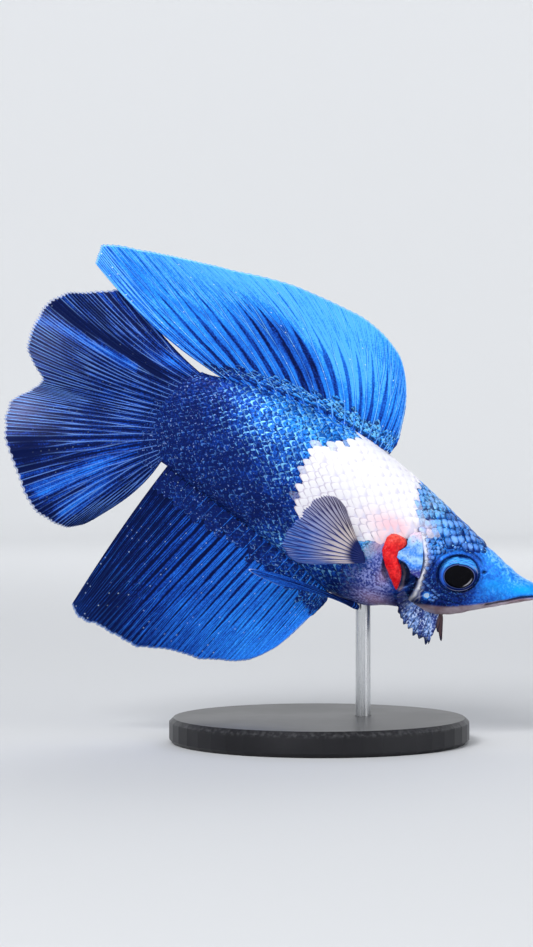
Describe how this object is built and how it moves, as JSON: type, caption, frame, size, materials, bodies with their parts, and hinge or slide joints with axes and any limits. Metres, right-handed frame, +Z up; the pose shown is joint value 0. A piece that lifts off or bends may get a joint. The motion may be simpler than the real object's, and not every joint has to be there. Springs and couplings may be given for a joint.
{
  "type": "halfmoon betta fish on a display stand",
  "caption": "Life-size still model of a short-finned halfmoon betta fish, nose down with its fins spread, held over a round base by a rod.",
  "frame": {"origin": "centre of the bounding box at its bottom, in the plane of the base's underside", "axes": "+X along the fish's length towards its snout, +Y to the fish's left, +Z up"},
  "size_m": [0.0652, 0.036, 0.0598],
  "materials": {
    "blue_skin": "satin",
    "white_skin": "satin",
    "jaw_skin": "satin",
    "red_gill": "moist",
    "black_eye": "polished",
    "blue_fin": "satin",
    "lilac_fin": "satin",
    "stand_black": "satin",
    "stand_steel": "brushed"
  },
  "bodies": {
    "root": {"head": "blue_skin", "lower_jaw": "jaw_skin", "trunk": "white_skin", "tail_stalk": "blue_skin", "gill_cover_right": "blue_skin", "gill_cover_left": "blue_skin", "gill_right": "red_gill", "gill_left": "red_gill", "gill_membrane_right": "jaw_skin", "gill_membrane_left": "jaw_skin", "eye_right": "black_eye", "eye_left": "black_eye", "dorsal_fin": "blue_fin", "caudal_fin": "blue_fin", "anal_fin": "blue_fin", "pectoral_fin_right": "lilac_fin", "pectoral_fin_left": "lilac_fin", "pelvic_fin_right": "blue_fin", "pelvic_fin_left": "blue_fin", "stand_base": "stand_black", "stand_rod": "stand_steel"}
  },
  "joints": []
}
